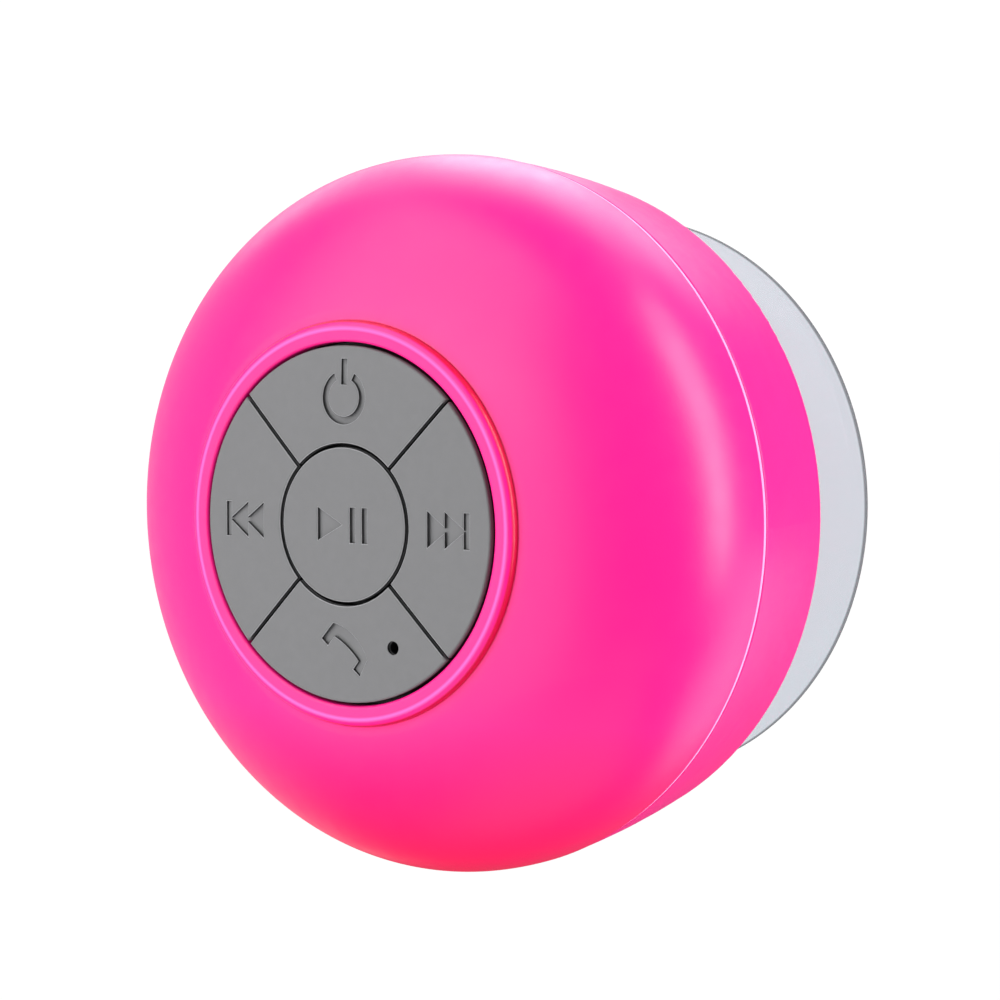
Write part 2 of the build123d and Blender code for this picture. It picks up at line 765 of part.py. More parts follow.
# ---- suction cup ----
def suction_cup():
    """Soft cup: thick head round the stud, flared flank, thin lip flat on the wall."""
    cavity_radius = STUD_FLANGE_RADIUS + FIT_GAP
    cavity_front = STUD_FLANGE_FRONT - FIT_GAP
    cavity_back = STUD_FLANGE_BACK + FIT_GAP
    flank = Spline(
        (11.0, y_at(47.6)),
        (14.5, y_at(49.6)),
        (22.0, y_at(52.2)),
        (30.0, y_at(54.9)),
        (CUP_RIM_RADIUS, y_at(57.4)),
    )
    inside = Spline(
        (CUP_LIP_RADIUS, y_at(OVERALL_DEPTH)),
        (28.5, y_at(56.1)),
        (19.0, y_at(53.5)),
        (10.0, y_at(51.4)),
        (0, y_at(50.8)),
        tangents=[(-1, -0.25), (-1, 0)],
    )
    return turned_curves(
        line(
            (SOCKET_RADIUS, CUP_FRONT),
            (11.4, CUP_FRONT),
            (12.0, CUP_FRONT + 0.6),
            (12.0, 46.6),
            (11.0, 47.6),
        ),
        flank,
        line((CUP_RIM_RADIUS, 57.4), (CUP_RIM_RADIUS, OVERALL_DEPTH), (CUP_LIP_RADIUS, OVERALL_DEPTH)),
        inside,
        line(
            (0, 50.8),
            (0, cavity_back),
            (cavity_radius, cavity_back),
            (cavity_radius, cavity_front),
            (SOCKET_RADIUS, cavity_front),
            (SOCKET_RADIUS, CUP_FRONT),
        ),
    )


def cup_stud():
    """Stud that screws into the hub; its threads are drawn as a plain cylinder."""
    end = HUB_BACK - SOCKET_DEPTH + 0.3
    return turned(
        [
            (0, end),
            (STUD_RADIUS - 0.8, end),
            (STUD_RADIUS, end + 0.8),
            (STUD_RADIUS, STUD_FLANGE_FRONT),
            (STUD_FLANGE_RADIUS, STUD_FLANGE_FRONT),
            (STUD_FLANGE_RADIUS, STUD_FLANGE_BACK),
            (0, STUD_FLANGE_BACK),
        ]
    )


def slip_washer():
    return tube(SOCKET_RADIUS + 0.3, HUB_RADIUS, HUB_BACK, CUP_FRONT)


# ---- assembly ----
PIECES = {
    "silicone_skin": silicone_skin(),
    "front_shell": front_shell(),
    "seam_gasket": seam_gasket(),
    "rear_shell": rear_shell(),
    "key_power": key("power", sector(0), power_sign(), 15.0),
    "key_previous": key("previous", sector(90), skip_sign(-1), 14.7),
    "key_next": key("next", sector(-90), skip_sign(1), 14.7),
    "key_call": key_call(),
    "key_play_pause": key("play_pause", Circle(CENTRE_KEY_RADIUS), play_pause_sign(), 0),
    "tact_switches": tact_switches(),
    "keypad_membrane": keypad_membrane(),
    "main_board": main_board(),
    "wireless_chip": chip(6.0, 6.0, 0.9, 3.0, 17.0),
    "amplifier_chip": chip(4.0, 5.0, 1.1, 11.0, 17.0),
    "power_inductor": chip(4.0, 4.0, 2.6, -12.0, -16.5),
    "chip_antenna": chip(7.0, 2.0, 0.9, -3.0, 23.5),
    "clock_crystal": chip(3.2, 2.5, 0.7, -5.0, 17.0),
    "status_led": chip(1.6, 0.8, 0.7, -12.5, 16.0),
    "board_connectors": board_connectors(),
    "board_screws": board_screws(),
    "microphone": microphone(),
    "microphone_boot": microphone_boot(),
    "battery_cell": battery_cell(),
    "battery_safety_board": battery_safety_board(),
    "battery_pad": block(30, 20, BOARD_BACK, BATTERY_FRONT),
    "battery_leads": battery_leads(),
    "speaker_yoke": speaker_yoke(),
    "speaker_magnet": tube(8.5, 15.0, MAGNET_FRONT, TOP_PLATE_FRONT),
    "speaker_top_plate": tube(7.35, 14.0, TOP_PLATE_FRONT, BASKET_FRONT),
    "speaker_basket": speaker_basket(),
    "speaker_terminal": speaker_terminal(),
    "speaker_cone": speaker_cone(),
    "dust_cap": dust_cap(),
    "voice_coil": voice_coil(),
    "surround": surround(),
    "spider": spider(),
    "speaker_gasket": tube(23.1, FLANGE_RADIUS, FLANGE_BACK, SEAT_FRONT),
    "speaker_screws": speaker_screws(),
    "speaker_leads": speaker_leads(),
    "acoustic_mesh": acoustic_mesh(),
    "usb_receptacle": usb_receptacle(),
    "usb_board": usb_board(),
    "usb_board_screws": usb_board_screws(),
    "usb_leads": usb_leads(),
    "port_cover": port_cover(),
    "port_cover_strap": port_cover_strap(),
    "housing_screws": housing_screws(),
    "suction_cup": suction_cup(),
    "cup_stud": cup_stud(),
    "slip_washer": slip_washer(),
}
for name in STEMS:
    PIECES["switch_plunger_" + name] = switch_plunger(name)

os.makedirs("parts", exist_ok=True)
for name, piece in PIECES.items():
    export_step(piece, f"parts/{name}.step")
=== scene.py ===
import json
import math

import bmesh
import bpy
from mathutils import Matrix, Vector
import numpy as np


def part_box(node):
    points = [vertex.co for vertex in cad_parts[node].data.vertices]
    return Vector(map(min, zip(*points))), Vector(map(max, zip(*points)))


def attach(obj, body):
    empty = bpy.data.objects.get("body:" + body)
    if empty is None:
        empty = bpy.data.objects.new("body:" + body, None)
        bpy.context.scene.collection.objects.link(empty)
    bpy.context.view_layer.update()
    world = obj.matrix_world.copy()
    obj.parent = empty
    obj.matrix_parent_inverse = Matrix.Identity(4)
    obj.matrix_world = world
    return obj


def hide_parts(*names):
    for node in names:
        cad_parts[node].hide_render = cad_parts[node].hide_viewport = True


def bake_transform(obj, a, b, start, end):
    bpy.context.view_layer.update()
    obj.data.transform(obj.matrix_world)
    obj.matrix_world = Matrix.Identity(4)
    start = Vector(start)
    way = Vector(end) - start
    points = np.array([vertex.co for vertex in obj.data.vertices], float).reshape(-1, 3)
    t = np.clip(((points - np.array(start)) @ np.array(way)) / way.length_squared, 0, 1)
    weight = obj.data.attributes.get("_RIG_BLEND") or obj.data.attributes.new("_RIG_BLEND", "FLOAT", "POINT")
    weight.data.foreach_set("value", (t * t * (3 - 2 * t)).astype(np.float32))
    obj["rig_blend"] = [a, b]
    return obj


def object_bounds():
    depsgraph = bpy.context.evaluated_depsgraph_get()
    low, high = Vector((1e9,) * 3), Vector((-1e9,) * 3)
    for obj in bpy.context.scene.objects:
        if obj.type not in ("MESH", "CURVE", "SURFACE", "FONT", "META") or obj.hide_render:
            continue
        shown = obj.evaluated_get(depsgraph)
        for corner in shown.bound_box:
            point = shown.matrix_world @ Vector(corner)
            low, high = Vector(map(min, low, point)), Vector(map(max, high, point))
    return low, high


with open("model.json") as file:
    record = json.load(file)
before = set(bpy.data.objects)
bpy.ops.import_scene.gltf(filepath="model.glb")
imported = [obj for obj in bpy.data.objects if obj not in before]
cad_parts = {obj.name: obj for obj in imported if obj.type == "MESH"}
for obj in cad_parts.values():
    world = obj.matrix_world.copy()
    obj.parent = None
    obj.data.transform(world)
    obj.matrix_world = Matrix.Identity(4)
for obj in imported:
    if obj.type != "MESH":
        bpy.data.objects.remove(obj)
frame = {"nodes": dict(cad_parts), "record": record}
cad_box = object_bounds()

MM = 0.001
TURN = 2 * math.pi
LATHE_STEPS = 288

# Places taken from the frame: the speaker's axis runs along Y, the wall is the plane y = 0
# and the front faces -Y.
SKIN_LOW, SKIN_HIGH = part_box("silicone_skin")
BODY_RADIUS = SKIN_HIGH.x
SEAM_Y = SKIN_HIGH.y
RING_TOP_Y = SKIN_LOW.y
RIM_ABOVE_RING = 0.1 * MM
RIM_Y = RING_TOP_Y - RIM_ABOVE_RING
GASKET_LOW, GASKET_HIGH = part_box("seam_gasket")
MIC_LOW, MIC_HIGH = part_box("microphone")
MIC_FACE = ((MIC_LOW.x + MIC_HIGH.x) / 2, MIC_LOW.y, (MIC_LOW.z + MIC_HIGH.z) / 2)
# The keys' faces lie on one large ball, which rises over the keypad and touches CROWN_Y.
CROWN_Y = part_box("key_play_pause")[0].y
CROWN_REACH = 21.05 * MM
CROWN_RISE = 0.5 * MM
CROWN_RADIUS = (CROWN_REACH**2 + CROWN_RISE**2) / (2 * CROWN_RISE)


def mm(*lengths):
    return [length * MM for length in lengths]


# ---- mesh helpers ----
def mesh_object(name, mesh):
    piece = bpy.data.objects.new(name, mesh)
    bpy.context.scene.collection.objects.link(piece)
    return piece


def smooth(piece, sharp_degrees=40):
    for face in piece.data.polygons:
        face.use_smooth = True
    piece.data.set_sharp_from_angle(angle=math.radians(sharp_degrees))
    return piece


def lathe(name, outline, steps=LATHE_STEPS, sharp_degrees=40):
    """Closed solid turned about the Y axis from a closed outline of (radius, y) points."""
    mesh = bmesh.new()
    rings = []
    for radius, y in outline:
        if radius < 1e-7:
            rings.append([mesh.verts.new((0, y, 0))])
            continue
        ring = []
        for i in range(steps):
            angle = TURN * i / steps
            ring.append(mesh.verts.new((radius * math.cos(angle), y, radius * math.sin(angle))))
        rings.append(ring)
    for a, b in zip(rings, rings[1:] + rings[:1]):
        if len(a) == 1 and len(b) == 1:
            continue
        for i in range(steps):
            j = (i + 1) % steps
            corners = [a[i % len(a)], a[j % len(a)], b[j % len(b)], b[i % len(b)]]
            corners = list(dict.fromkeys(corners))
            mesh.faces.new(corners)
    bmesh.ops.recalc_face_normals(mesh, faces=mesh.faces)
    data = bpy.data.meshes.new(name)
    mesh.to_mesh(data)
    mesh.free()
    return smooth(mesh_object(name, data), sharp_degrees)


def corner_arc(centre, radius, start, end, steps=8):
    """Points of an arc in the (radius, y) section, from one angle in degrees to another."""
    points = []
    for i in range(steps + 1):
        angle = math.radians(start + (end - start) * i / steps)
        points.append((centre[0] + radius * math.cos(angle), centre[1] + radius * math.sin(angle)))
    return points


def smooth_line(points, steps=10):
    """Catmull-Rom line through the given section points."""
    line = []
    padded = [points[0]] + list(points) + [points[-1]]
    for p0, p1, p2, p3 in zip(padded, padded[1:], padded[2:], padded[3:]):
        for i in range(steps):
            t = i / steps
            line.append(
                tuple(
                    0.5
                    * (
                        2 * b
                        + (c - a) * t
                        + (2 * a - 5 * b + 4 * c - d) * t**2
                        + (3 * b - a - 3 * c + d) * t**3
                    )
                    for a, b, c, d in zip(p0, p1, p2, p3)
                )
            )
    line.append(points[-1])
    return line


# ---- material helpers ----
class Surface:
    """One node material: a Principled shader with object-space patterns feeding it."""

    def __init__(self, name, colour, roughness, **settings):
        self.material = bpy.data.materials.new(name)
        self.material.use_nodes = True
        self.tree = self.material.node_tree
        self.shader = self.tree.nodes["Principled BSDF"]
        self.shader.inputs["Base Color"].default_value = (*colour, 1)
        self.shader.inputs["Roughness"].default_value = roughness
        for socket, value in settings.items():
            self.shader.inputs[socket.replace("_", " ")].default_value = value
        self.place = self.tree.nodes.new("ShaderNodeTexCoord").outputs["Object"]
        self.heights = []

    def link(self, source, target):
        self.tree.links.new(source, target)

    def stretched(self, scale):
        mapping = self.tree.nodes.new("ShaderNodeMapping")
        mapping.inputs["Scale"].default_value = scale
        self.link(self.place, mapping.inputs["Vector"])
        return mapping.outputs["Vector"]

    def along(self, axis):
        node = self.tree.nodes.new("ShaderNodeSeparateXYZ")
        self.link(self.place, node.inputs["Vector"])
        return node.outputs[axis]

    def distance_from(self, point):
        node = self.tree.nodes.new("ShaderNodeVectorMath")
        node.operation = "DISTANCE"
        node.inputs[1].default_value = point
        self.link(self.place, node.inputs[0])
        return node.outputs["Value"]

    def from_axis(self):
        """Distance from the speaker's axis."""
        node = self.tree.nodes.new("ShaderNodeVectorMath")
        node.operation = "LENGTH"
        self.link(self.stretched((1, 0, 1)), node.inputs[0])
        return node.outputs["Value"]

    def noise(self, per_metre, detail=2.0, stretch=None):
        node = self.tree.nodes.new("ShaderNodeTexNoise")
        node.inputs["Scale"].default_value = per_metre
        node.inputs["Detail"].default_value = detail
        self.link(self.stretched(stretch) if stretch else self.place, node.inputs["Vector"])
        return node.outputs["Fac"]

    def cells(self, per_metre):
        node = self.tree.nodes.new("ShaderNodeTexVoronoi")
        node.inputs["Scale"].default_value = per_metre
        self.link(self.place, node.inputs["Vector"])
        return node.outputs["Distance"]

    def spread(self, value, low, high, start=0.3, end=0.7):
        """From low to high while the value goes from start to end."""
        node = self.tree.nodes.new("ShaderNodeMapRange")
        for socket, number in zip(
            ("From Min", "From Max", "To Min", "To Max"), (start, end, low, high)
        ):
            node.inputs[socket].default_value = number
        self.link(value, node.inputs["Value"])
        return node.outputs["Result"]

    def maths(self, operation, *values):
        node = self.tree.nodes.new("ShaderNodeMath")
        node.operation = operation
        for socket, value in zip(node.inputs, values):
            if isinstance(value, float):
                socket.default_value = value
            else:
                self.link(value, socket)
        return node.outputs["Value"]

    def between(self, value, rise, full, fall, end):
        """1 from full to fall, and 0 before rise and after end."""
        up = self.spread(value, 0, 1, rise, full)
        down = self.spread(value, 1, 0, fall, end)
        return self.maths("MULTIPLY", up, down)

    def over(self, factor, colour):
        """Lays a colour over the base colour, as far as the factor says."""
        base = self.shader.inputs["Base Color"]
        node = self.tree.nodes.new("ShaderNodeMixRGB")
        if base.is_linked:
            self.link(base.links[0].from_socket, node.inputs["Color1"])
        else:
            node.inputs["Color1"].default_value = base.default_value
        node.inputs["Color2"].default_value = (*colour, 1)
        self.link(factor, node.inputs["Fac"])
        self.link(node.outputs["Color"], base)
        return self

    def colours(self, value, *stops):
        """Base colour from a ramp of (position, colour) stops."""
        node = self.tree.nodes.new("ShaderNodeValToRGB")
        ramp = node.color_ramp
        while len(ramp.elements) < len(stops):
            ramp.elements.new(0.5)
        for element, (position, colour) in zip(ramp.elements, stops):
            element.position = position
            element.color = (*colour, 1)
        self.link(value, node.inputs["Fac"])
        self.link(node.outputs["Color"], self.shader.inputs["Base Color"])
        return self

    def rough(self, value, low, high):
        self.link(self.spread(value, low, high), self.shader.inputs["Roughness"])
        return self

    def bump(self, value, depth, strength=1.0):
        node = self.tree.nodes.new("ShaderNodeBump")
        node.inputs["Distance"].default_value = depth
        node.inputs["Strength"].default_value = strength
        self.link(value, node.inputs["Height"])
        if self.heights:
            self.link(self.heights[-1], node.inputs["Normal"])
        self.heights.append(node.outputs["Normal"])
        self.link(node.outputs["Normal"], self.shader.inputs["Normal"])
        return self


def shades(colour, spread):
    """The same colour a little darker and a little lighter."""
    dark = tuple(c * (1 - spread) for c in colour)
    light = tuple(min(1, c * (1 + spread)) for c in colour)
    return (0.3, dark), (0.7, light)


# ---- materials, one for each slot of the record ----
PINK = (1.0, 0.010, 0.25)
BAND_PINK = (1.0, 0.012, 0.25)
# Painted shade: the deeper pink of the dome's underside.
UNDERSIDE_SHADE_PINK = (1.0, 0.003, 0.075)
# Painted highlight along the ring's shoulder.
RING_HIGHLIGHT_PINK = (1.0, 0.10, 0.50)
# Painted shade in the crease at the ring's foot.
CREASE_SHADE_RED = (0.66, 0.003, 0.05)
KEY_GREY = (0.165, 0.165, 0.17)
# Painted highlight along the keys' edges.
KEY_EDGE_HIGHLIGHT_GREY = (0.34, 0.34, 0.35)
# Painted shade on the signs' walls and deep in the gaps between the keys.
RECESS_SHADE_GREY = (0.012, 0.012, 0.013)
# Black of the microphone's felt, which also stands in as painted shade down the key's hole.
FELT_AND_SHADE_BLACK = (0.01, 0.01, 0.01)

# Heights where the dome's pink turns to the deeper pink of the painted shade on its underside.
UNDERSIDE_SHADE_HEIGHTS = mm(-22, -43)
# Bands round the axis: the radii where each starts, is full, fades and ends.
# The ring's painted highlight on its shoulder.
RING_HIGHLIGHT_RADII = mm(22.2, 22.45, 22.55, 22.85)
# The painted shade in the crease at the ring's foot.
RING_CREASE_SHADE_RADII = mm(23.15, 23.3, 23.4, 23.58)
# Bands of depth under the keys' crown.
# The keys' painted edge highlight.
KEY_EDGE_HIGHLIGHT_DEPTHS = mm(0.02, 0.035, 0.07, 0.10)
# Painted shade on the signs' walls, and deeper down in the gaps and holes.
SIGN_WALL_SHADE_DEPTHS = mm(0.09, 0.14, 0.28, 0.34)
KEY_GAP_SHADE_DEPTHS = mm(0.58, 0.7)
# Radii: the outer edge of the keys, the cup's lip with its painted shade, and the microphone's felt, which
# also serves as painted shade in the key's hole.
KEYPAD_EDGE = mm(19.8, 20.1)
LIP_SHADE_RADII = mm(35.95, 36.1)
FELT_AND_SHADE_EDGE = mm(1.5, 1.6)


def skin_silicone():
    s = Surface("skin_silicone", PINK, 0.36, Specular_IOR_Level=0.4)
    # Painted shade: the pink deepens towards the dome's underside.
    low = s.spread(s.along("Z"), 0, 1, *UNDERSIDE_SHADE_HEIGHTS)
    s.colours(low, (0, PINK), (1, UNDERSIDE_SHADE_PINK))
    radius = s.from_axis()
    # Painted highlight along the ring's shoulder.
    s.over(s.between(radius, *RING_HIGHLIGHT_RADII), RING_HIGHLIGHT_PINK)
    # Painted shade in the crease at the ring's foot.
    s.over(s.between(radius, *RING_CREASE_SHADE_RADII), CREASE_SHADE_RED)
    s.rough(s.noise(420, 4), 0.33, 0.39)
    s.bump(s.noise(5200, 3), 0.012 * MM)
    return s.bump(s.noise(160, 2), 0.01 * MM)


def cover_rubber():
    s = Surface("cover_rubber", PINK, 0.5, Specular_IOR_Level=0.35)
    s.colours(s.noise(90), *shades(PINK, 0.04))
    s.rough(s.noise(500, 3), 0.46, 0.54)
    return s.bump(s.noise(5200, 3), 0.012 * MM)


def shell_plastic():
    s = Surface("shell_plastic", BAND_PINK, 0.36, Specular_IOR_Level=0.4)
    s.colours(s.noise(70), *shades(BAND_PINK, 0.03))
    s.rough(s.noise(380, 4), 0.33, 0.40)
    return s.bump(s.cells(4200), 0.008 * MM)


def seam_rubber():
    # The pale pink is partly the gasket's own tone and partly a painted highlight along the seam.
    pale = (1.0, 0.36, 0.72)
    s = Surface("seam_rubber", pale, 0.5)
    s.colours(s.noise(700), *shades(pale, 0.05))
    return s.bump(s.noise(4000, 2), 0.006 * MM)


def key_rubber():
    """Grey rubber, with painted highlight along the edges, and painted shade on the walls of the signs and
    in the gaps.
    """
    s = Surface("key_rubber", KEY_GREY, 0.55, Specular_IOR_Level=0.35)
    s.colours(s.noise(900, 3), *shades(KEY_GREY, 0.02))
    centre = (0, CROWN_Y + CROWN_RADIUS, 0)
    depth = s.maths("SUBTRACT", CROWN_RADIUS, s.distance_from(centre))
    inside = s.spread(s.from_axis(), 1, 0, *KEYPAD_EDGE)
    # Painted highlight along the keys' edges.
    s.over(s.maths("MULTIPLY", s.between(depth, *KEY_EDGE_HIGHLIGHT_DEPTHS), inside), KEY_EDGE_HIGHLIGHT_GREY)
    # Painted shade on the walls of the signs.
    s.over(s.maths("MULTIPLY", s.between(depth, *SIGN_WALL_SHADE_DEPTHS), inside), RECESS_SHADE_GREY)
    # Painted shade deep in the gaps between the keys and down their holes.
    s.over(s.spread(depth, 0, 1, *KEY_GAP_SHADE_DEPTHS), RECESS_SHADE_GREY)
    s.rough(s.noise(600, 3), 0.52, 0.58)
    return s.bump(s.noise(6400, 4), 0.008 * MM)


def cup_vinyl():
    """Pale clear vinyl: light goes through its flank, and the very edge of its lip has painted shade."""
    pale = (0.70, 0.78, 0.83)
    s = Surface("cup_vinyl", pale, 0.15, Transmission_Weight=0.85, IOR=1.2)
    # Painted shade along the very edge of the lip.
    edge = s.spread(s.from_axis(), 0, 1, *LIP_SHADE_RADII)
    s.colours(edge, (0, pale), (1, (0.12, 0.12, 0.13)))
    return s.bump(s.noise(900, 2), 0.002 * MM)


def black_rubber():
    black = (0.02, 0.02, 0.022)
    s = Surface("black_rubber", black, 0.6)
    s.colours(s.noise(800), *shades(black, 0.2))
    return s.bump(s.noise(5000, 3), 0.012 * MM)


def dark_plastic():
    grey = (0.03, 0.03, 0.033)
    s = Surface("dark_plastic", grey, 0.45)
    s.colours(s.noise(500), *shades(grey, 0.15))
    s.rough(s.noise(900, 2), 0.40, 0.52)
    return s.bump(s.cells(3000), 0.012 * MM)


def white_plastic():
    white = (0.70, 0.70, 0.67)
    s = Surface("white_plastic", white, 0.4, Subsurface_Weight=0.1, Subsurface_Scale=0.5 * MM)
    s.colours(s.noise(300), *shades(white, 0.03))
    s.rough(s.noise(700, 2), 0.35, 0.46)
    return s.bump(s.noise(3500, 2), 0.008 * MM)


def chip_plastic():
    black = (0.015, 0.015, 0.017)
    s = Surface("chip_plastic", black, 0.5)
    s.colours(s.noise(3000), *shades(black, 0.25))
    return s.bump(s.noise(7000, 3), 0.01 * MM)


def circuit_board():
    s = Surface("circuit_board", (0.012, 0.12, 0.045), 0.35, Coat_Weight=0.3)
    s.colours(s.cells(420), (0.05, (0.02, 0.19, 0.07)), (0.4, (0.008, 0.09, 0.035)))
    return s.bump(s.cells(420), 0.02 * MM)


def battery_foil():
    silver = (0.55, 0.56, 0.58)
    s = Surface("battery_foil", silver, 0.35, Metallic=0.8)
    s.rough(s.noise(900, 3), 0.28, 0.42)
    s.colours(s.noise(200), *shades(silver, 0.06))
    return s.bump(s.noise(350, 3), 0.05 * MM)


def foam():
    s = Surface("foam", (0.03, 0.03, 0.032), 0.9)
    s.colours(s.cells(2600), (0.1, (0.012, 0.012, 0.012)), (0.6, (0.05, 0.05, 0.052)))
    return s.bump(s.cells(2600), 0.08 * MM)


def lead_sleeve():
    red = (0.32, 0.01, 0.012)
    s = Surface("lead_sleeve", red, 0.35)
    s.colours(s.noise(500), *shades(red, 0.1))
    return s.bump(s.noise(2500, 2), 0.01 * MM)


def zinc_steel():
    grey = (0.42, 0.43, 0.45)
    s = Surface("zinc_steel", grey, 0.38, Metallic=1.0)
    s.colours(s.noise(900, 3), *shades(grey, 0.08))
    s.rough(s.noise(1500, 3, (1, 12, 1)), 0.28, 0.46)
    return s.bump(s.noise(1500, 3, (1, 12, 1)), 0.01 * MM)


def bright_steel():
    """Bright plated steel; the microphone's face is black, for its felt and as painted shade in the key's
    hole over it.
    """
    grey = (0.60, 0.60, 0.61)
    s = Surface("bright_steel", grey, 0.25, Metallic=1.0)
    s.colours(s.noise(1200, 2), *shades(grey, 0.06))
    # Black felt on the microphone's face, also serving as painted shade in the hole.
    s.over(s.spread(s.distance_from(MIC_FACE), 1, 0, *FELT_AND_SHADE_EDGE), FELT_AND_SHADE_BLACK)
    s.rough(s.noise(2500, 3, (1, 8, 1)), 0.18, 0.34)
    return s.bump(s.noise(2500, 3, (1, 8, 1)), 0.005 * MM)


def ferrite():
    grey = (0.03, 0.03, 0.032)
    s = Surface("ferrite", grey, 0.42, Metallic=0.3)
    s.colours(s.noise(1800, 3), *shades(grey, 0.2))
    return s.bump(s.noise(3500, 3), 0.02 * MM)


def cone_paper():
    grey = (0.018, 0.018, 0.02)
    s = Surface("cone_paper", grey, 0.75)
    s.colours(s.noise(1600, 4), *shades(grey, 0.3))
    return s.bump(s.noise(1600, 4), 0.05 * MM)


def copper_wire():
    copper = (0.62, 0.23, 0.08)
    s = Surface("copper_wire", copper, 0.3, Metallic=0.9)
    s.colours(s.noise(900), *shades(copper, 0.1))
    return s.bump(s.noise(300, 0, (0.05, 30, 0.05)), 0.05 * MM)


def spider_cloth():
    gold = (0.42, 0.24, 0.07)
    s = Surface("spider_cloth", gold, 0.8)
    s.colours(s.noise(2200, 2), *shades(gold, 0.2))
    return s.bump(s.noise(2600, 2), 0.05 * MM)


def mesh_cloth():
    s = Surface("mesh_cloth", (0.02, 0.02, 0.022), 0.7, Sheen_Weight=0.3)
    s.colours(s.cells(2200), (0.15, (0.05, 0.05, 0.055)), (0.45, (0.004, 0.004, 0.004)))
    return s.bump(s.cells(2200), 0.12 * MM)


SLOTS = {
    make.__name__: make().material
    for make in (
        skin_silicone,
        cover_rubber,
        shell_plastic,
        seam_rubber,
        key_rubber,
        cup_vinyl,
        black_rubber,
        dark_plastic,
        white_plastic,
        chip_plastic,
        circuit_board,
        battery_foil,
        foam,
        lead_sleeve,
        zinc_steel,
        bright_steel,
        ferrite,
        cone_paper,
        copper_wire,
        spider_cloth,
        mesh_cloth,
    )
}


def dress(piece, slot):
    piece.data.materials.clear()
    piece.data.materials.append(SLOTS[slot])
    return piece


def stands_for(piece, body, slot, *nodes):
    """A new piece takes its finish from a slot, rides on a body and hides the CAD nodes."""
    dress(piece, slot)
    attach(piece, body)
    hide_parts(*nodes)
    return piece


for subpart in frame["record"]["subparts"]:
    dress(frame["nodes"][subpart["node"]], subpart["material_slot"])


# ---- front dome ----
DOME_HEIGHT = 22.6 * MM
DOME_POWER = 2.5
SKIN_THICKNESS = 1.2 * MM
RING_BORE = 20.95 * MM
RING_OUTER = 23.4 * MM


def dome_point(inset, degrees):
    """Section point of the dome, inset inside its outer face; 0 is the seam and 90 the apex."""
    across = math.cos(math.radians(degrees))
    along = math.sin(math.radians(degrees))
    reach = (across**DOME_POWER + along**DOME_POWER) ** (-1 / DOME_POWER)
    width = BODY_RADIUS - inset
    height = DOME_HEIGHT - inset
    return width * reach * across, SEAM_Y - height * reach * along


def dome_line(inset, innermost, steps=90):
    """The dome's section from the seam in to the given radius."""
    points = [dome_point(inset, 90 * i / steps) for i in range(steps)]
    return [point for point in points if point[0] > innermost]


def dome_skin():
    edge = 0.3 * MM
    shoulder = 0.8 * MM
    lip = 0.4 * MM
    crease = 0.12 * MM
    outer = [point for point in dome_line(0, RING_OUTER + crease) if point[1] < SEAM_Y - edge]
    foot_y = outer[-1][1]
    outline = corner_arc((BODY_RADIUS - edge, SEAM_Y - edge), edge, 90, 0, 6)
    outline += outer[1:]
    outline += corner_arc((RING_OUTER + crease, foot_y - crease), crease, 90, 180, 4)[1:]
    outline += corner_arc(
        (RING_OUTER - shoulder, RING_TOP_Y + shoulder), shoulder, 0, -90, 12
    )
    outline += corner_arc((RING_BORE + lip, RING_TOP_Y + lip), lip, -90, -180, 8)
    inner = dome_line(SKIN_THICKNESS, RING_BORE)
    outline.append((RING_BORE, inner[-1][1]))
    outline += inner[::-1]
    return lathe("dome_skin", outline)


stands_for(dome_skin(), "housing", "skin_silicone", "silicone_skin")


# ---- light line at the seam ----
def seam_bead():
    bead = 0.22 * MM
    outer = GASKET_HIGH.x
    inner = 39.75 * MM
    outline = [(inner, GASKET_HIGH.y), (inner, GASKET_LOW.y)]
    outline += corner_arc((outer - bead, GASKET_LOW.y + bead), bead, -90, 0, 6)
    outline += corner_arc((outer - bead, GASKET_HIGH.y - bead), bead, 0, 90, 6)
    return lathe("seam_bead", outline)


stands_for(seam_bead(), "housing", "seam_rubber", "seam_gasket")


# ---- suction cup ----
STUD_LOW, STUD_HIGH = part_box("cup_stud")
STUD_RADIUS = 5.94 * MM
STUD_FLANGE = 1.4 * MM
STUD_CHAMFER = 0.8 * MM
THREAD_PITCH = 2.0 * MM
THREAD_DEPTH = 0.7 * MM
THREAD_ROWS = 90


def wall_cup():
    """Flared soft cup with a thick head, a thin lip and the hollow for its stud."""
    head = 0.7 * MM
    lip = 0.25 * MM
    low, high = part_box("suction_cup")
    front = low.y
    rim = high.x
    fit = 0.05 * MM
    stud_back = STUD_HIGH.y + fit
    flange_radius = STUD_HIGH.x + fit
    flange_front = STUD_HIGH.y - STUD_FLANGE - fit
    neck = 6.0 * MM
    head_radius = 12.0 * MM
    outline = [(neck, front)]
    outline += corner_arc((head_radius - head, front + head), head, -90, 0)
    outline += corner_arc((head_radius - head, front + 3.0 * MM), head, 0, 60)
    outline += smooth_line(
        [
            (11.0 * MM, front + 4.0 * MM),
            (14.5 * MM, front + 6.0 * MM),
            (22.0 * MM, front + 8.6 * MM),
            (30.0 * MM, front + 11.3 * MM),
            (rim - 0.2 * MM, -0.75 * MM),
        ]
    )
    outline += corner_arc((rim - lip, -0.45 * MM), lip, -30, 30, 4)
    outline += corner_arc((rim - lip, -lip), lip, 30, 90, 4)
    outline += [(34.4 * MM, 0.0)]
    outline += smooth_line(
        [
            (34.2 * MM, -0.1 * MM),
            (28.5 * MM, -1.9 * MM),
            (19.0 * MM, -4.5 * MM),
            (10.0 * MM, -6.6 * MM),
            (0.0, -7.2 * MM),
        ]
    )
    outline += [
        (0.0, stud_back),
        (flange_radius, stud_back),
        (flange_radius, flange_front),
        (neck, flange_front),
    ]
    return lathe("wall_cup", outline, sharp_degrees=50)


stands_for(wall_cup(), "cup", "cup_vinyl", "suction_cup")


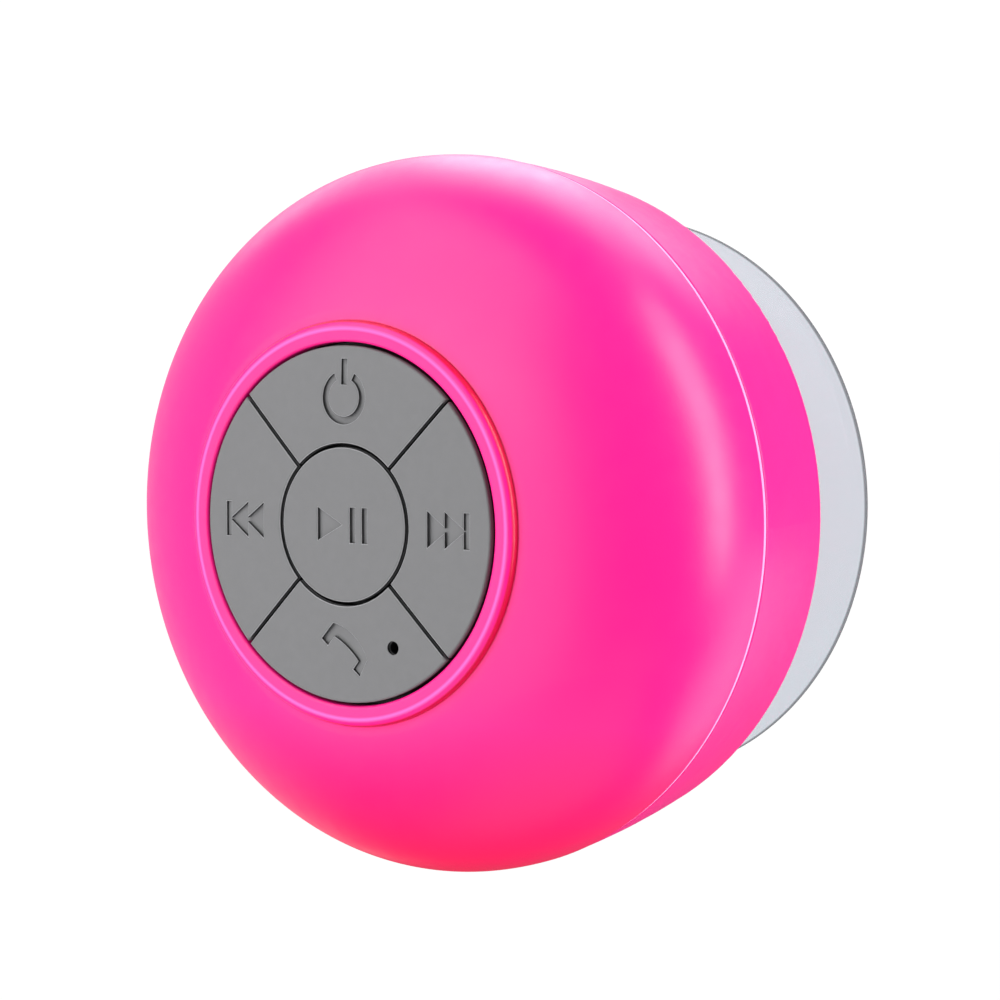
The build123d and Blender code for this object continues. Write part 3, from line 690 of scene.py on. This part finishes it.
def cup_screw():
    """The cup's stud with its thread, which has the same lead as the cup's travel."""
    start = STUD_LOW.y + STUD_CHAMFER
    flange_front = STUD_HIGH.y - STUD_FLANGE
    length = flange_front - start
    outline = [(0, STUD_LOW.y), (STUD_RADIUS - STUD_CHAMFER, STUD_LOW.y)]
    outline += [(STUD_RADIUS, start + length * i / THREAD_ROWS) for i in range(THREAD_ROWS + 1)]
    outline += [(STUD_HIGH.x, flange_front), (STUD_HIGH.x, STUD_HIGH.y), (0, STUD_HIGH.y)]
    screw = lathe("cup_screw", outline, steps=144)
    for vert in screw.data.vertices:
        x, y, z = vert.co
        if abs(math.hypot(x, z) - STUD_RADIUS) > 0.01 * MM:
            continue
        turns = y / THREAD_PITCH + math.atan2(z, x) / TURN
        groove = min(1.0, max(0.0, 0.5 - 0.9 * math.cos(TURN * turns)))
        groove *= min(1.0, (flange_front - y) / STUD_CHAMFER)
        reach = 1 - THREAD_DEPTH * groove / STUD_RADIUS
        vert.co = (x * reach, y, z * reach)
    return smooth(screw, 60)


stands_for(cup_screw(), "cup", "white_plastic", "cup_stud")


# ---- strap of the port cover ----
def hinge_strap():
    """The cover's strap with rings of points along it, so it can bend, and its end in the lid."""
    mesh = bmesh.new()
    mesh.from_mesh(frame["nodes"]["port_cover_strap"].data)
    bmesh.ops.remove_doubles(mesh, verts=mesh.verts, dist=1e-7)
    strap_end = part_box("port_cover_strap")[0].x
    lid_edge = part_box("port_cover")[1].x
    sunk = 0.3 * MM
    for vert in mesh.verts:
        if vert.co.x < strap_end + 0.02 * MM:
            vert.co.x = lid_edge - sunk
    ring_gap = 0.25
    for i in range(13):
        geometry = mesh.verts[:] + mesh.edges[:] + mesh.faces[:]
        place = (strap_end + (0.1 + ring_gap * i) * MM, 0, 0)
        bmesh.ops.bisect_plane(mesh, geom=geometry, plane_co=place, plane_no=(1, 0, 0))
    data = bpy.data.meshes.new("hinge_strap")
    mesh.to_mesh(data)
    mesh.free()
    return smooth(mesh_object("hinge_strap", data), 30)


strap = dress(hinge_strap(), "cover_rubber")
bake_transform(strap, "housing", "port_lid", (0.0094, -0.0285, -0.0412), (0.0066, -0.0285, -0.0412))
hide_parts("port_cover_strap")


# ---- soft rings of the driver ----
def soft_ring(name, node, slot, inner, outer):
    """A copy of a round soft part: inside it follows the cone, and outside it stays put."""
    ring = mesh_object(name, frame["nodes"][node].data.copy())
    ring.data.name = name
    dress(smooth(ring, 30), slot)
    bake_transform(ring, "housing", "driver_cone", (outer, 0, 0), (inner, 0, 0))
    for vert, share in zip(ring.data.vertices, ring.data.attributes["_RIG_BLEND"].data):
        part = (outer - math.hypot(vert.co.x, vert.co.z)) / (outer - inner)
        part = min(1.0, max(0.0, part))
        share.value = part * part * (3 - 2 * part)
    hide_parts(node)


soft_ring("centring_spider", "spider", "spider_cloth", 8.2 * MM, 14.2 * MM)
soft_ring("cone_surround", "surround", "black_rubber", 18.4 * MM, 21.6 * MM)


# ---- studio ----
FLOOR_REACH = 12.0
FLOOR_DROP = 600 * MM
AMBIENT = 0.15
BACKDROP = 1.05
LIGHT_DISTANCE = 0.9
# Name, azimuth and elevation in degrees, width, height, glow, and whether it is mirrored.
LIGHTS = (
    ("front_light", -24, -6, 1.2, 1.0, 0.95, True),
    ("crown_light", -26, 40, 0.9, 0.9, 0.85, True),
    ("left_light", -104, -6, 1.0, 1.35, 0.27, True),
    ("rim_light", -130, 44, 0.8, 0.8, 0.4, True),
    ("top_light", 195, 52, 0.8, 0.8, 0.65, True),
    ("side_light", 104, 20, 0.35, 1.2, 1.6, True),
    ("low_light", 140, -30, 0.7, 0.7, 0.35, True),
    ("under_light", 20, -65, 0.9, 0.9, 0.7, False),
)


def towards(azimuth, elevation):
    """Unit vector out from the object; azimuth 0 is the front (-Y), and 90 is +X."""
    azimuth = math.radians(azimuth)
    elevation = math.radians(elevation)
    return Vector(
        (
            math.sin(azimuth) * math.cos(elevation),
            -math.cos(azimuth) * math.cos(elevation),
            math.sin(elevation),
        )
    )


def studio_floor():
    """Plain floor far below; it glows evenly white and lights nothing."""
    floor = mesh_object("floor", bpy.data.meshes.new("floor"))
    far = FLOOR_REACH
    z = cad_box[0].z - FLOOR_DROP
    corners = [(-far, -far, z), (far, -far, z), (far, far, z), (-far, far, z)]
    floor.data.from_pydata(corners, [], [(0, 1, 2, 3)])
    s = Surface("floor_paper", (0.06, 0.06, 0.06), 0.9, Emission_Strength=1.0)
    s.shader.inputs["Emission Color"].default_value = (1, 1, 1, 1)
    s.colours(s.noise(3), (0.3, (0.05, 0.05, 0.05)), (0.7, (0.07, 0.07, 0.07)))
    floor.data.materials.append(s.material)
    floor.visible_diffuse = False
    floor.visible_glossy = False
    floor.visible_shadow = False


def softbox(name, azimuth, elevation, width, height, glow, mirrored):
    """Flat soft light; glow is how bright it makes a white card that faces it."""
    centre = (cad_box[0] + cad_box[1]) / 2
    light = bpy.data.lights.new(name, "AREA")
    light.shape = "RECTANGLE"
    light.size = width
    light.size_y = height
    light.energy = glow * (math.pi * LIGHT_DISTANCE) ** 2
    lamp = bpy.data.objects.new(name, light)
    lamp.location = centre + towards(azimuth, elevation) * LIGHT_DISTANCE
    lamp.rotation_euler = towards(azimuth, elevation).to_track_quat("Z", "Y").to_euler()
    lamp.visible_camera = False
    lamp.visible_transmission = False
    lamp.visible_glossy = mirrored
    bpy.context.scene.collection.objects.link(lamp)


def studio_light():
    """White backdrop, seen straight or through the cup, and dimmer even light on the object."""
    world = bpy.data.worlds.new("studio")
    world.use_nodes = True
    nodes = world.node_tree.nodes
    links = world.node_tree.links
    ambient = nodes["Background"]
    ambient.inputs["Color"].default_value = (1, 1, 1, 1)
    ambient.inputs["Strength"].default_value = AMBIENT
    backdrop = nodes.new("ShaderNodeBackground")
    backdrop.inputs["Color"].default_value = (1, 1, 1, 1)
    backdrop.inputs["Strength"].default_value = BACKDROP
    path = nodes.new("ShaderNodeLightPath")
    mix = nodes.new("ShaderNodeMixShader")
    direct = nodes.new("ShaderNodeMath")
    direct.operation = "MAXIMUM"
    links.new(path.outputs["Is Camera Ray"], direct.inputs[0])
    links.new(path.outputs["Is Transmission Ray"], direct.inputs[1])
    links.new(direct.outputs["Value"], mix.inputs["Fac"])
    links.new(ambient.outputs["Background"], mix.inputs[1])
    links.new(backdrop.outputs["Background"], mix.inputs[2])
    links.new(mix.outputs["Shader"], nodes["World Output"].inputs["Surface"])
    bpy.context.scene.world = world
    for light in LIGHTS:
        softbox(*light)


CAMERA_AZIMUTH = 35.6
CAMERA_ELEVATION = 3.96
CAMERA_DISTANCE = 0.35
CAMERA_LENS = 109.8
AIM_RIGHT = 17.77 * MM
AIM_UP = 2.83 * MM


def camera():
    """Looks at a point right of the keypad's middle, from the front right."""
    back = towards(CAMERA_AZIMUTH, CAMERA_ELEVATION)
    right = towards(CAMERA_AZIMUTH + 90, 0)
    up = back.cross(right)
    aim = Vector((0, RIM_Y, 0)) + right * AIM_RIGHT + up * AIM_UP
    data = bpy.data.cameras.new("camera")
    data.sensor_width = 36
    data.lens = CAMERA_LENS
    data.clip_start = 0.01
    data.clip_end = 20
    eye = bpy.data.objects.new("camera", data)
    eye.location = aim + back * CAMERA_DISTANCE
    eye.rotation_euler = back.to_track_quat("Z", "Y").to_euler()
    bpy.context.scene.collection.objects.link(eye)
    bpy.context.scene.camera = eye


studio_floor()
studio_light()
camera()
bpy.context.scene.view_settings.view_transform = "Standard"
